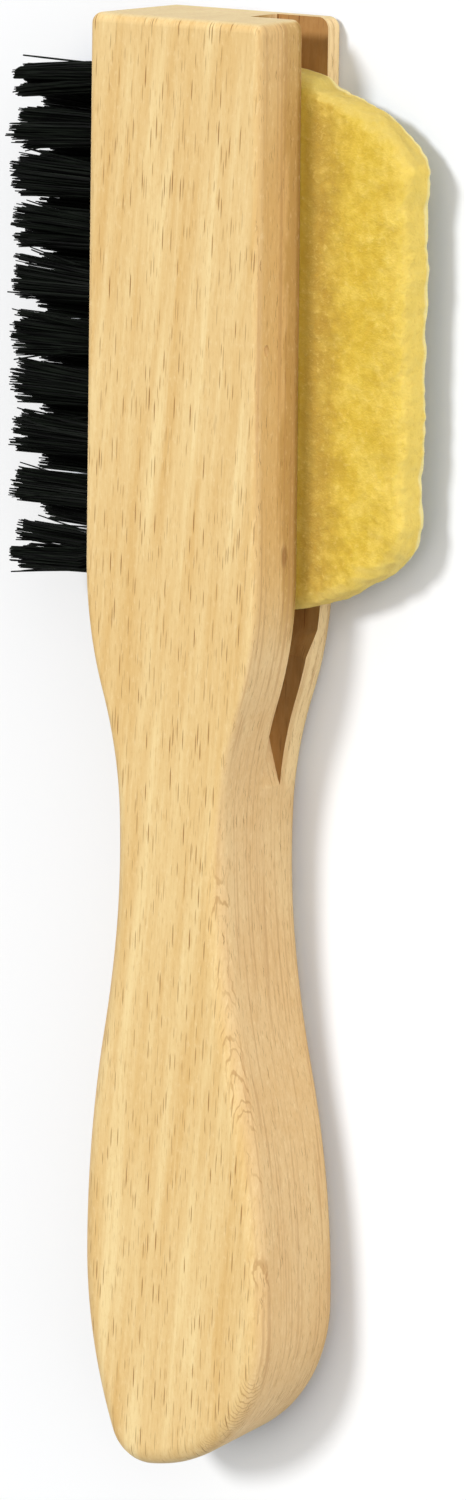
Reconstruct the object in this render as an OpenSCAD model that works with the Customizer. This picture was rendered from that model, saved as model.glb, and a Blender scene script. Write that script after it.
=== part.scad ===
// Suede brush: a beech block with a contoured handle, bristle tufts set in
// blind bores along one side and a slab of crepe rubber glued in a slot along
// the other. The brush lies on its back face. X runs across the block, with
// the crepe at +X and the bristles at -X, Y runs along it, with the head end
// at +Y, and Z is the thickness.

/* [Block] */
// Overall length of the block
block_l = 200; // [192:1:210]
// Thickness of the block, from its back face to its front face
block_t = 18; // [17:0.5:20]
// Radius of the edge rounding along the head
head_edge_r = 1.2; // [0.8:0.1:1.4]
// Radius of the edge rounding along the handle
handle_edge_r = 3; // [2:0.1:4]

/* [Head] */
// Width of the block at its head end
head_end_w = 27.6; // [26.4:0.1:28.4]
// Width of the block at its shoulders
head_w = 28.7; // [28:0.1:30]
// Distance from the head end to the shoulders
head_l = 72; // [70:1:76]
// Radius of the two corners of the head end, seen from the front
head_corner_r = 1.5; // [1.5:0.1:3]
// Radius of the curve at the shoulders
shoulder_r = 57; // [35:1:75]

/* [Handle] */
// Width of the waist, where the handle is narrowest
waist_w = 18; // [16:0.5:20]
// Distance from the head end to the waist
waist_at = 106.5; // [102:0.5:112]
// Reach of the swell on the crepe side, from the centre line
palm_x = 17.1; // [15:0.1:18]
// Distance from the head end to the swell on the crepe side
palm_at = 175.5; // [170:0.5:178]
// Radius of the swell on the crepe side
palm_r = 143; // [90:1:180]
// Reach of the swell on the bristle side, from the centre line
finger_x = 14.65; // [13.5:0.05:16]
// Distance from the head end to the swell on the bristle side
finger_at = 170; // [164:0.5:175]
// Radius of the swell on the bristle side
finger_r = 185; // [120:1:220]
// Radius of the tip
tip_r = 6; // [4:0.5:8]
// Distance of the tip from the centre line, towards the bristle side
tip_x = 4.2; // [2:0.1:5]

/* [Slot] */
// Width of the seat that holds the crepe
seat_w = 5.8; // [5:0.1:6.5]
// Wood left between the seat and the back face
seat_back = 3.3; // [2.5:0.1:4]
// Depth of the seat, from the widest part of the head
seat_depth = 8.7; // [7.5:0.1:9.5]
// Distance from the head end to the end of the seat's full width
seat_l = 80.5; // [79:0.5:84]
// Length over which the seat narrows to the cutter's run-out
seat_ramp = 3.6; // [2:0.1:5]
// Width of the run-out in the neck
runout_w = 4.2; // [3:0.1:4.6]
// Distance from the head end to where the cutter leaves the seat's floor
runout_at = 82; // [80:0.5:86]
// Radius of the slotting cutter
cutter_r = 60; // [45:1:70]

/* [Crepe] */
// Reach of the crepe beyond the widest part of the head
crepe_out = 16.9; // [12:0.1:20]
// Distance from the head end to the upper end of the crepe
crepe_at = 6.2; // [3:0.1:10]
// Length of the crepe along the seat's floor
crepe_l = 71.8; // [60:0.1:73]
// Radius of the two rounded ends
crepe_end_r = 36; // [33:1:60]
// Radius of the two outer corners
crepe_corner_r = 5; // [3:0.1:6]
// Radius along the crepe's edges
crepe_edge_r = 2; // [0.8:0.1:2.2]
// Depth of the waves along the outer edge
crepe_wave = 0.4; // [0.2:0.1:0.8]
// Length of one wave
crepe_wave_l = 9; // [6:0.5:14]
// Glue line between the crepe and each wall of its seat
glue_gap = 0.05; // [0.02:0.01:0.1]

/* [Tufts] */
// Number of tufts in the front row, with one fewer in the back row
tuft_n = 10; // [8:1:10]
// Distance between neighbouring tufts of a row
tuft_pitch = 6.95; // [6.6:0.05:7.1]
// Distance from the head end to the first tuft
tuft_at = 8.9; // [8:0.1:11]
// Distance between the two rows
row_gap = 6; // [5.4:0.1:7]
// Reach of the longest strands beyond the widest part of the head
tuft_out = 16.6; // [12:0.1:20]
// Most that a strand falls short of the longest
strand_ragged = 1.8; // [0.5:0.1:3]
// Radius of the bores that hold the tufts
bore_r = 1.9; // [1.7:0.1:2.2]
// Depth of the bores, from the widest part of the head
bore_depth = 8; // [6.5:0.1:8.5]
// Radial clearance of a tuft's root in its bore
root_gap = 0.05; // [0.02:0.01:0.1]
// Depth of a tuft's root below the mouth of its bore
root_sunk = 1; // [0.5:0.1:1.5]
// Strands in a tuft
strand_n = 24; // [16:1:26]
// Radius of a strand
strand_r = 0.22; // [0.15:0.01:0.24]

/* [Anchors] */
// Thickness of the flat wire that anchors a tuft
anchor_t = 0.45; // [0.3:0.05:0.6]
// Height of an anchor along its bore
anchor_h = 1.8; // [1:0.1:2.5]
// Thickness of the bend of strands under an anchor
bend_t = 1; // [0.6:0.1:1.4]

/* [Hidden] */
head_y = block_l / 2;
shoulder_y = head_y - head_l;
waist_y = head_y - waist_at;
waist_x = waist_w / 2;
face_x = head_w / 2;
end_x = head_end_w / 2;
tip_y = -block_l / 2 + tip_r;
// Angle of the head's sides, which draw in a little towards the head end
side_a = atan2(face_x - end_x, head_l);
// Steps along each stretch of the outline, and up each rounded edge
corner_steps = 4;
curve_steps = 8;
tip_steps = 7;
edge_steps = 5;
crepe_edge_steps = 5;
wave_steps = 3;
// Stretch over which the edge rounding grows from the head's to the handle's
edge_grow_from = shoulder_y - 12;
edge_grow_to = waist_y - 18;

floor_x = face_x - seat_depth;
seat_front = seat_back + seat_w;
runout_y = head_y - runout_at;
// How far the cutting shapes pass the wood's surface
past = 5;

bore_end_x = face_x - bore_depth;
row_z = [block_t / 2 + row_gap / 2, block_t / 2 - row_gap / 2];
row_y = [head_y - tuft_at, head_y - tuft_at - tuft_pitch / 2];
row_n = [tuft_n, tuft_n - 1];
row_name = ["front", "back"];
root_r = bore_r - root_gap;
root_top_x = end_x - root_sunk;
// A root's strands start this far below its top, and stay this far inside it
strand_sunk = 0.8;
strand_inset = 0.25;
// Space left between the tips of neighbouring tufts
tip_gap = 0.2;
tip_jitter = 0.12;
// Clearance of an anchor in the fold of its tuft
anchor_gap = 0.02;
golden_angle = 137.508;

function tuft_name(row, i) = str("tuft_", row_name[row], i < 9 ? "_0" : "_", i + 1);

// An outline is a list of [x, y, nx, ny], a point and its outward normal.
// Points along an arc, after its first one; side is -1 where it is hollow.
function arc(c, r, from, to, steps, side = 1) = [
  for (i = [1 : steps])
    let (a = from + (to - from) * i / steps)
    [c.x + r * cos(a), c.y + r * sin(a), side * cos(a), side * sin(a)]
];

function mirrored(p) = [-p[0], p[1], -p[2], p[3]];

function reversed(list) = [for (i = [len(list) - 1 : -1 : 0]) list[i]];

// Angle at which one centre sees another, from -360 to 0 degrees
function angle_down(from, to) =
  let (a = atan2(to.y - from.y, to.x - from.x))
  a > 0 ? a - 360 : a;

// Half of the block's outline, from the head end to the tip: a corner, a
// straight side, and six arcs that each leave the last one along its tangent.
function half_outline(swell_x, swell_at, swell_r, tip_dx) =
  let (
    swell_y = head_y - swell_at,
    corner = [
      end_x + head_corner_r * (tan(side_a) - 1 / cos(side_a)),
      head_y - head_corner_r
    ],
    shoulder = [face_x - shoulder_r * cos(side_a), shoulder_y - shoulder_r * sin(side_a)],
    rise = shoulder.y - waist_y,
    inset = waist_x - shoulder.x,
    neck_r = (inset * inset + rise * rise - shoulder_r * shoulder_r) / (2 * (shoulder_r - inset)),
    neck = [waist_x + neck_r, waist_y],
    flare = swell_x - waist_x,
    drop = waist_y - swell_y,
    grip_r = (flare * flare + drop * drop) / (2 * flare) - swell_r,
    grip = [waist_x + grip_r, waist_y],
    swell = [swell_x - swell_r, swell_y],
    reach = swell_x - tip_dx,
    fall = swell_y - tip_y,
    heel_r = (reach * reach + fall * fall - tip_r * tip_r) / (2 * (reach - tip_r)),
    heel = [swell_x - heel_r, swell_y],
    tip = [tip_dx, tip_y],
    neck_a = angle_down(shoulder, neck),
    grip_a = angle_down(grip, swell),
    tip_a = angle_down(heel, tip)
  )
  concat(
    [[corner.x, head_y, 0, 1]],
    arc(corner, head_corner_r, 90, side_a, corner_steps),
    arc(shoulder, shoulder_r, side_a, neck_a, curve_steps),
    arc(neck, neck_r, neck_a + 180, 180, curve_steps, -1),
    arc(grip, grip_r, -180, grip_a, curve_steps, -1),
    arc(swell, swell_r, grip_a + 180, 0, curve_steps),
    arc(heel, heel_r, 0, tip_a, curve_steps),
    arc(tip, tip_r, tip_a, -90, tip_steps)
  );

// Radius of the edge rounding at a place along the block
function edge_r(y) =
  let (
    t = max(0, min(1, (edge_grow_from - y) / (edge_grow_from - edge_grow_to)))
  )
  head_edge_r + (handle_edge_r - head_edge_r) * t * t * (3 - 2 * t);

// Points of a slab over an outline, in rings from its bottom to its top. The
// edges are rounded by radii[i] at point i, in a number of steps.
function ring_points(outline, radii, bottom, top, steps) = [
  for (level = [0 : 2 * steps + 1])
    let (
      upper = level > steps,
      a = 90 * (upper ? 2 * steps + 1 - level : level) / steps
    )
    for (i = [0 : len(outline) - 1])
      let (p = outline[i], inset = radii[i] * (1 - sin(a)), rise = radii[i] * (1 - cos(a)))
      [p[0] - p[2] * inset, p[1] - p[3] * inset, upper ? top - rise : bottom + rise]
];

// Triangles between those rings
function ring_walls(count, steps) = [
  for (level = [0 : 2 * steps])
    for (i = [0 : count - 1])
      let (a = level * count + i, b = level * count + (i + 1) % count)
      each [[a, b, b + count], [a, b + count, a + count]]
];

// Triangles across a ring that starts at vertex first: a ladder between its
// two halves, whose first points are neighbours and whose last point is one
function ladder(count, first) = [
  for (i = [0 : (count - 3) / 2])
    let (r0 = first + i, r1 = r0 + 1, l0 = first + count - 1 - i, l1 = l0 - 1)
    each r1 == l1 ? [[r0, r1, l0]] : [[r0, r1, l1], [r0, l1, l0]]
];

// Triangles from each edge of a ring to one vertex at its centre
function fan(count, first, centre) = [
  for (i = [0 : count - 1])
    [first + i, first + (i + 1) % count, centre]
];

function flipped(faces) = [for (f = faces) reversed(f)];

// The slot for the crepe: a seat of full width that narrows at its end, and
// the shallower run-out that a disc cutter leaves in the neck
module slot() {
  seat_end = head_y - seat_l;
  ramp_end = seat_end - seat_ramp;
  run_back = seat_front - runout_w;
  head_past = head_y + past;
  out_x = face_x + past;
  rotate([90, 0, 90])
    translate([0, 0, floor_x])
      linear_extrude(out_x - floor_x)
        polygon([
          [head_past, seat_back],
          [head_past, seat_front],
          [ramp_end, seat_front],
          [ramp_end, run_back],
          [seat_end, seat_back]
        ]);
  translate([floor_x, runout_y, run_back])
    cube([out_x - floor_x, head_y - runout_y, runout_w]);
  translate([floor_x + cutter_r, runout_y, run_back])
    intersection() {
      cylinder(h = runout_w, r = cutter_r, $fn = 240);
      translate([-cutter_r, -cutter_r, 0])
        cube([out_x - floor_x, cutter_r, runout_w]);
    }
}

// Places a child drawn along +Z so that it points out of one tuft's bore
module at_tuft(row, i) {
  translate([0, row_y[row] - i * tuft_pitch, row_z[row]])
    rotate([0, -90, 0])
      children();
}

module at_each_tuft() {
  for (row = [0, 1])
    for (i = [0 : row_n[row] - 1])
      at_tuft(row, i)
        children();
}

module block() {
  right = half_outline(palm_x, palm_at, palm_r, -tip_x);
  left = half_outline(finger_x, finger_at, finger_r, tip_x);
  outline = concat(right, reversed([for (i = [0 : len(left) - 2]) mirrored(left[i])]));
  count = len(outline);
  radii = [for (p = outline) edge_r(p[1])];
  top_first = (2 * edge_steps + 1) * count;
  color([0.91, 0.77, 0.53])
    difference() {
      polyhedron(
        points = ring_points(outline, radii, 0, block_t, edge_steps),
        faces = concat(
          flipped(ladder(count, 0)),
          ring_walls(count, edge_steps),
          ladder(count, top_first)
        )
      );
      slot();
      at_each_tuft()
        translate([0, 0, bore_end_x])
          cylinder(h = bore_depth + past, r = bore_r, $fn = 48);
    }
}

// The crepe's outline about the middle of its length: the floor of its seat,
// two rounded ends, two rounded corners and a waved outer edge
function crepe_outline() =
  let (
    in_x = floor_x + glue_gap,
    out_x = face_x + crepe_out - crepe_wave,
    half_l = crepe_l / 2,
    end = [in_x, half_l - crepe_end_r],
    reach = crepe_end_r - crepe_corner_r,
    corner_dx = out_x - crepe_corner_r - in_x,
    corner = [in_x + corner_dx, end.y + sqrt(reach * reach - corner_dx * corner_dx)],
    end_a = atan2(corner.y - end.y, corner.x - end.x),
    waves = max(2, round(2 * corner.y / crepe_wave_l)),
    edge_n = waves * wave_steps,
    upper = concat(
      [[in_x, half_l, -1, 1]],
      arc(end, crepe_end_r, 90, end_a, curve_steps),
      arc(corner, crepe_corner_r, end_a, 0, corner_steps)
    ),
    edge = [
      for (i = [1 : edge_n - 1])
        [out_x + crepe_wave * sin(180 * i / wave_steps), corner.y * (1 - 2 * i / edge_n), 1, 0]
    ]
  )
  concat(upper, edge, reversed([for (p = upper) [p[0], -p[1], p[2], -p[3]]]));

module crepe_slab() {
  outline = crepe_outline();
  count = len(outline);
  thick = seat_w - 2 * glue_gap;
  centre = [(floor_x + face_x + crepe_out) / 2, 0];
  top_first = (2 * crepe_edge_steps + 1) * count;
  bottom_centre = top_first + count;
  color([0.87, 0.74, 0.33])
    translate([0, head_y - crepe_at - crepe_l / 2, seat_back + glue_gap])
      polyhedron(
        points = concat(
          ring_points(outline, [for (p = outline) crepe_edge_r], 0, thick, crepe_edge_steps),
          [[centre.x, centre.y, 0], [centre.x, centre.y, thick]]
        ),
        faces = concat(
          flipped(fan(count, 0, bottom_centre)),
          ring_walls(count, crepe_edge_steps),
          fan(count, top_first, bottom_centre + 1)
        )
      );
}

// The bent flat wire that holds a tuft's fold down in its bore, drawn with
// room around it of a given gap
module anchor(gap = 0) {
  translate([0, 0, bore_end_x + bend_t + anchor_h / 2])
    cube([2 * root_r, anchor_t + 2 * gap, anchor_h + 2 * gap], center = true);
}

module tuft_anchors() {
  color([0.72, 0.72, 0.70])
    at_each_tuft()
      anchor();
}

// One three-sided strand between two points
module strand(from, to) {
  ring = [for (a = [0, 120, 240]) strand_r * [cos(a), sin(a), 0]];
  polyhedron(
    points = concat([for (p = ring) from + p], [for (p = ring) to + p]),
    faces = [
      [0, 1, 2], [5, 4, 3],
      [0, 3, 4], [0, 4, 1],
      [1, 4, 5], [1, 5, 2],
      [2, 5, 3], [2, 3, 0]
    ]
  );
}

// A folded tuft: its root fills the bore round the anchor, and its strands
// spread from the root in a spiral pattern, so that none crosses another
module tuft(row, i) {
  seed = 100 * row + i;
  turn = rands(0, 360, 1, seed)[0];
  short = rands(0, 1, strand_n, seed + 1000);
  jitter = rands(-tip_jitter, tip_jitter, 2 * strand_n, seed + 2000);
  from_r = root_r - strand_r - strand_inset;
  tip_margin = strand_r + tip_jitter + tip_gap / 2;
  to_r = [row_gap / 2 - tip_margin, tuft_pitch / 2 - tip_margin];
  color([0.07, 0.07, 0.07])
    at_tuft(row, i) {
      difference() {
        translate([0, 0, bore_end_x])
          cylinder(h = root_top_x - bore_end_x, r = root_r, $fn = 48);
        anchor(anchor_gap);
      }
      for (k = [0 : strand_n - 1])
        let (
          share = sqrt((k + 0.5) / strand_n),
          a = turn + k * golden_angle,
          dir = share * [cos(a), sin(a)],
          end_x = face_x + tuft_out - (k == 0 ? 0 : strand_ragged * short[k])
        )
        strand(
          [from_r * dir.x, from_r * dir.y, root_top_x - strand_sunk],
          [to_r.x * dir.x + jitter[2 * k], to_r.y * dir.y + jitter[2 * k + 1], end_x]
        );
    }
}

block();
crepe_slab();
tuft_anchors();
for (row = [0, 1]) for (i = [0 : row_n[row] - 1])
  tuft(row, i);
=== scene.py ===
import math

import bmesh
import bpy
import numpy as np
from mathutils import Matrix, Vector, noise


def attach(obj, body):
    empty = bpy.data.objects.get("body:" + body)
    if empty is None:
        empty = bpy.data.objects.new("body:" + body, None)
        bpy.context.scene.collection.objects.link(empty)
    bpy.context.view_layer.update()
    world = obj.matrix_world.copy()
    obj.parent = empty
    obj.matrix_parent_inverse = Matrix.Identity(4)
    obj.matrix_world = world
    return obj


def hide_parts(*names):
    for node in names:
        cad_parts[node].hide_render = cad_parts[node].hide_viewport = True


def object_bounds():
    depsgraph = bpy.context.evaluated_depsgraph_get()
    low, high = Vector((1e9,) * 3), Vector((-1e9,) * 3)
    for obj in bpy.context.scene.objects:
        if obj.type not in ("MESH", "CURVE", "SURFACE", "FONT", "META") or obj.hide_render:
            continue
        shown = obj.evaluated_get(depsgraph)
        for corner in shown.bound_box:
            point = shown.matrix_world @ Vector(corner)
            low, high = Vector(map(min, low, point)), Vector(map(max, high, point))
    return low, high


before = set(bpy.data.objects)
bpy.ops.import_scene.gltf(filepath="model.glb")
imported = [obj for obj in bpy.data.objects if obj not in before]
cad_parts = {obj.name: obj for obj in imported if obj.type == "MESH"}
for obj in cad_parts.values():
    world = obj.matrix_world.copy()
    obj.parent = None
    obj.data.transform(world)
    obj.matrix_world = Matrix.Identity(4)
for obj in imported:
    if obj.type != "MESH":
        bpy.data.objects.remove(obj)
cad_low, cad_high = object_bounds()

MM = 0.001
BODY = "root"

# The block's sizes in millimetres, the same as in the part's source
BLOCK_L, BLOCK_T = 200.0, 18.0
HEAD_EDGE_R, HANDLE_EDGE_R = 1.2, 3.0
HEAD_END_W, HEAD_W, HEAD_L, HEAD_CORNER_R = 27.6, 28.7, 72.0, 1.5
SHOULDER_R, WAIST_W, WAIST_AT = 57.0, 18.0, 106.5
PALM = (17.1, 175.5, 143.0)
FINGER = (14.65, 170.0, 185.0)
TIP_R, TIP_X = 6.0, 4.2
SEAT_W, SEAT_BACK, SEAT_DEPTH, SEAT_L, SEAT_RAMP = 5.8, 3.3, 8.7, 80.5, 3.6
RUNOUT_W, RUNOUT_AT, CUTTER_R = 4.2, 82.0, 60.0
CREPE_OUT, CREPE_AT, CREPE_L = 16.9, 6.2, 71.8
CREPE_END_R, CREPE_CORNER_R = 36.0, 5.0
GLUE_GAP = 0.05
TUFT_N, TUFT_PITCH, TUFT_AT, ROW_GAP, TUFT_OUT = 10, 6.95, 8.9, 6.0, 16.6
BORE_R, BORE_DEPTH, ROOT_GAP, ROOT_SUNK = 1.9, 8.0, 0.05, 1.0
ANCHOR_T, ANCHOR_H, BEND_T, ANCHOR_GAP = 0.45, 1.8, 1.0, 0.02

HEAD_Y = BLOCK_L / 2
SHOULDER_Y = HEAD_Y - HEAD_L
WAIST_Y = HEAD_Y - WAIST_AT
WAIST_X = WAIST_W / 2
FACE_X = HEAD_W / 2
END_X = HEAD_END_W / 2
TIP_Y = -BLOCK_L / 2 + TIP_R
SIDE_A = math.degrees(math.atan2(FACE_X - END_X, HEAD_L))
FLOOR_X = FACE_X - SEAT_DEPTH
SEAT_FRONT = SEAT_BACK + SEAT_W
BORE_END_X = FACE_X - BORE_DEPTH
ROOT_R = BORE_R - ROOT_GAP
ROOT_TOP_X = END_X - ROOT_SUNK
EDGE_GROW_FROM = SHOULDER_Y - 12
EDGE_GROW_TO = WAIST_Y - 18
# Steps of an arc of the block's outline, of the rounding of the block's and the crepe's
# edges, and of the crepe's two kinds of arc
ARC_STEPS, BLOCK_EDGE_STEPS, CREPE_EDGE_STEPS = 48, 8, 6
CREPE_END_STEPS, CREPE_CORNER_STEPS = 60, 12
# How far a cutter goes past the wood
PAST = 5.0
CREPE_MID_Y = HEAD_Y - CREPE_AT - CREPE_L / 2

# Colours from 0 to 255. The wood's bands, sides, end grain, the painted reflection and
# painted shade on the head's side wall, its painted contact shadow at the slot, the painted
# light on the rear lip, the ray marks, the painted shade in the groove, and the small
# features of the grain
WOOD_DEEP, WOOD_MID, WOOD_PALE = (229, 189, 121), (237, 203, 140), (248, 221, 161)
WOOD_SIDE, WOOD_END, WOOD_PAINTED_BOUNCE = (232, 195, 143), (226, 206, 158), (226, 182, 106)
WOOD_PAINTED_SHADE, WOOD_CONTACT_SHADOW, WOOD_LIP_LIGHT = (200, 158, 88), (166, 124, 48), (255, 226, 170)
WOOD_RAY, GROOVE_SHADE, GROOVE_SHADE_PATCH = (150, 98, 38), (176, 142, 96), (150, 106, 54)
STREAK_DEEP, STREAK_PALE = (226, 184, 116), (252, 226, 168)
FIBRE_DEEP, SIDE_LINE, ARCH = (208, 162, 98), (198, 150, 96), (186, 136, 78)
MOTTLE_DEEP, MOTTLE_PALE, FLECK = (214, 168, 100), (255, 230, 176), (150, 104, 56)
# The crepe's blotches, crumb and specks, then its paler outer rim, the painted light on
# its rounded edges, the painted light shining through its back edge, the painted shade on
# its upper end and painted light on its lower end, and the painted shade on the strip
# beside the wood
CREPE_DEEP, CREPE_MID, CREPE_PALE = (214, 180, 62), (222, 190, 72), (231, 201, 90)
CRUMB_PALE, CRUMB_DEEP, SPECK = (247, 222, 130), (206, 166, 54), (190, 150, 52)
CREPE_OUTER, CREPE_EDGE_LIGHT, CREPE_BACK_GLOW = (248, 218, 110), (252, 221, 114), (255, 240, 172)
CREPE_UPPER_SHADE, CREPE_LOWER_LIGHT, CREPE_NEAR_SHADE = (206, 182, 100), (255, 228, 132), (172, 138, 65)
BRISTLE_DEEP, BRISTLE_PALE = (4, 4, 4), (24, 29, 23)
STEEL_DEEP, STEEL_PALE = (150, 150, 147), (196, 196, 192)

# Cells of the noises in millimetres along X, Y and Z
BAND_CELL, STREAK_CELL = (3.4, 56, 9), (0.75, 24, 2.0)
FIBRE_CELL, MOTTLE_CELL = (0.13, 2.6, 0.16), (0.55, 1.5, 0.5)
LINE_CELL, WALL_CELL, CROOKED_CELL = (3, 45, 0.42), (4, 12, 4), (0.9, 0.9, 0.9)
GROOVE_SHADE_CELL, ARCH_WARP_CELL = (1.5, 6, 1.5), (2.2, 5.5, 2.2)
ARCH_DRIFT_CELL, ARCH_PATCH_CELL = (14, 11, 14), (6, 5.5, 6)
BLOTCH_CELL, CRUMB_CELL, SPECK_CELL = (2.6, 3.2, 2.6), (0.8, 0.8, 0.8), (0.28, 0.28, 0.28)
# Slant of the bands and of the streaks across the front face, in degrees
BAND_TILT, STREAK_TILT = -6.5, -4
# Ray marks: cell across and along the grain in millimetres, slant in degrees, share of
# the cells that hold a mark, least size of a mark in cells and how much it may grow
BOLD_RAYS, FAINT_RAYS = ((0.42, 7.2), -2, 0.42, 0.15, 0.13), ((0.34, 4.2), -3, 0.4, 0.12, 0.12)
SIDE_BOLD_RAYS, SIDE_FAINT_RAYS = ((0.32, 5.0), 0, 0.4, 0.12, 0.13), ((0.26, 2.6), 0, 0.4, 0.1, 0.14)

# Places in millimetres between which a tint of the wood fades in: the head's side wall
# along the brush and in height, its painted shade and its painted contact shadow at the
# slot, the rear lip with its painted light, and the arches of the handle
HEAD_WALL_Y, HEAD_WALL_Z = (16.0, 26.0), (4.0, 8.0)
WALL_SHADE_Z, WALL_LINE_Z = (13.4, 12.2), (10.1, 9.3)
LIP_Y, LIP_Z, ARCH_Y = (-6.0, 0.0), (4.0, 3.4), (-8.0, -16.0)
# How far the edge of the wall's painted shade strays, in millimetres
WALL_STRAY = 6.0
# The same for the crepe: its rounded ends by their radius, its outer edge, its lower
# half, the strip of painted shade beside the wood with its fade towards the wood, and
# the painted light shining through its back edge
RIM_R, RIM_X, LOWER_HALF_Y = (31.0, 36.0), (25.0, 31.0), (10.0, -10.0)
NEAR_X, CONTACT_X, OFF_END_Y, BACK_GLOW_Z = (23.0, 16.2), (13.5, 16.2), (36.0, 29.0), (4.9, 4.1)
CREPE_STRAY = 9.0
# The small nick in the head's edge: middle, radii and turn in degrees
CHIP_AT, CHIP_R, CHIP_TURN = (14.3, 58.3, 16.1), (0.6, 0.9, 0.6), 20
# Middle of the dark fleck low on the head's side wall, and how many of its radii go
# into a metre
FLECK_AT, FLECK_SHARE = (14.3, 30.8, 11.8), (500.0, 420.0, 1100.0)
# Rings per millimetre of depth under the handle's edge
RING_SHARE = math.sqrt(0.5) / 0.26


def smoothstep(t):
    t = np.clip(t, 0, 1)
    return t * t * (3 - 2 * t)


def arc(centre, r, start, end, steps, side=1):
    """Rows of x, y and the outward normal along an arc, after its first point."""
    a = np.radians(start + (end - start) * np.arange(1, steps + 1) / steps)
    n = np.stack([np.cos(a), np.sin(a)], 1)
    return np.hstack([np.array(centre) + r * n, side * n])


def angle_down(start, end):
    a = math.degrees(math.atan2(end[1] - start[1], end[0] - start[0]))
    return a - 360 if a > 0 else a


def half_outline(swell_x, swell_at, swell_r, tip_dx):
    """Half of the block's outline from the head end to the tip, as tangent arcs."""
    swell_y = HEAD_Y - swell_at
    tan_a, cos_a = math.tan(math.radians(SIDE_A)), math.cos(math.radians(SIDE_A))
    corner = (END_X + HEAD_CORNER_R * (tan_a - 1 / cos_a), HEAD_Y - HEAD_CORNER_R)
    shoulder = (
        FACE_X - SHOULDER_R * cos_a,
        SHOULDER_Y - SHOULDER_R * math.sin(math.radians(SIDE_A)),
    )
    rise, inset = shoulder[1] - WAIST_Y, WAIST_X - shoulder[0]
    neck_r = (inset**2 + rise**2 - SHOULDER_R**2) / (2 * (SHOULDER_R - inset))
    neck = (WAIST_X + neck_r, WAIST_Y)
    flare, drop = swell_x - WAIST_X, WAIST_Y - swell_y
    grip_r = (flare**2 + drop**2) / (2 * flare) - swell_r
    grip = (WAIST_X + grip_r, WAIST_Y)
    swell = (swell_x - swell_r, swell_y)
    reach, fall = swell_x - tip_dx, swell_y - TIP_Y
    heel_r = (reach**2 + fall**2 - TIP_R**2) / (2 * (reach - TIP_R))
    heel = (swell_x - heel_r, swell_y)
    tip = (tip_dx, TIP_Y)
    neck_a, grip_a, tip_a = (
        angle_down(shoulder, neck),
        angle_down(grip, swell),
        angle_down(heel, tip),
    )
    return np.vstack([
        [corner[0], HEAD_Y, 0, 1],
        arc(corner, HEAD_CORNER_R, 90, SIDE_A, 8),
        arc(shoulder, SHOULDER_R, SIDE_A, neck_a, ARC_STEPS),
        arc(neck, neck_r, neck_a + 180, 180, ARC_STEPS, -1),
        arc(grip, grip_r, -180, grip_a, ARC_STEPS, -1),
        arc(swell, swell_r, grip_a + 180, 0, ARC_STEPS),
        arc(heel, heel_r, 0, tip_a, ARC_STEPS),
        arc(tip, TIP_R, tip_a, -90, 24),
    ])


def edge_r(y):
    t = smoothstep((EDGE_GROW_FROM - y) / (EDGE_GROW_FROM - EDGE_GROW_TO))
    return HEAD_EDGE_R + (HANDLE_EDGE_R - HEAD_EDGE_R) * t


def new_object(name, mesh):
    obj = bpy.data.objects.new(name, mesh)
    bpy.context.scene.collection.objects.link(obj)
    return obj


def mesh_of(name, points, faces):
    """A mesh from points in millimetres."""
    mesh = bpy.data.meshes.new(name)
    mesh.from_pydata((np.asarray(points, float) * MM).tolist(), [], faces)
    mesh.validate()
    mesh.update()
    return mesh


def ring_solid(name, outline, radii, bottom, top, steps, under=None):
    """A slab over an outline whose edges are rounded by radii, or by under at its
    bottom, as rings of points."""
    levels = []
    for level in range(2 * steps + 2):
        upper = level > steps
        a = math.radians(90 * (2 * steps + 1 - level if upper else level) / steps)
        r = radii if upper or under is None else under
        inset, rise = r * (1 - math.sin(a)), r * (1 - math.cos(a))
        z = top - rise if upper else bottom + rise
        levels.append(
            np.stack([
                outline[:, 0] - outline[:, 2] * inset,
                outline[:, 1] - outline[:, 3] * inset,
                z,
            ], 1)
        )
    count = len(outline)
    faces = []
    for level in range(2 * steps + 1):
        for i in range(count):
            a, b = level * count + i, level * count + (i + 1) % count
            faces.append([b, a, a + count, b + count])
    top_first = (2 * steps + 1) * count
    for first, flip in ((0, True), (top_first, False)):
        for i in range((count - 1) // 2):
            r0, r1 = first + i, first + i + 1
            l0, l1 = first + count - 1 - i, first + count - 2 - i
            face = [r0, l0, r1] if r1 == l1 else [r0, l0, l1, r1]
            faces.append(face[::-1] if flip else face)
    return mesh_of(name, np.vstack(levels), faces)


def prism(name, corners, along, low, high):
    """A prism over corners in a plane: along is the axis, 0 for X or 2 for Z."""
    corners = np.array(corners, float)
    points = []
    for value in (low, high):
        for u, v in corners:
            points.append([value, u, v] if along == 0 else [u, v, value])
    n = len(corners)
    faces = [list(range(n))[::-1], list(range(n, 2 * n))]
    faces += [[i, (i + 1) % n, n + (i + 1) % n, n + i] for i in range(n)]
    mesh = mesh_of(name, points, faces)
    tidy = bmesh.new()
    tidy.from_mesh(mesh)
    bmesh.ops.recalc_face_normals(tidy, faces=tidy.faces)
    tidy.to_mesh(mesh)
    tidy.free()
    return mesh


def apply_modifiers(obj):
    """Gives obj the mesh that its modifiers make, and takes them off."""
    bpy.context.view_layer.update()
    graph = bpy.context.evaluated_depsgraph_get()
    made = bpy.data.meshes.new_from_object(obj.evaluated_get(graph))
    obj.modifiers.clear()
    obj.data = made


def cut(obj, cutter_mesh):
    """Cuts a mesh out of obj. The new walls keep the cutter's material."""
    cutter = new_object("cutter", cutter_mesh)
    modifier = obj.modifiers.new("cut", "BOOLEAN")
    modifier.operation = "DIFFERENCE"
    modifier.solver = "EXACT"
    modifier.material_mode = "TRANSFER"
    modifier.object = cutter
    apply_modifiers(obj)
    bpy.data.objects.remove(cutter)


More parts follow.
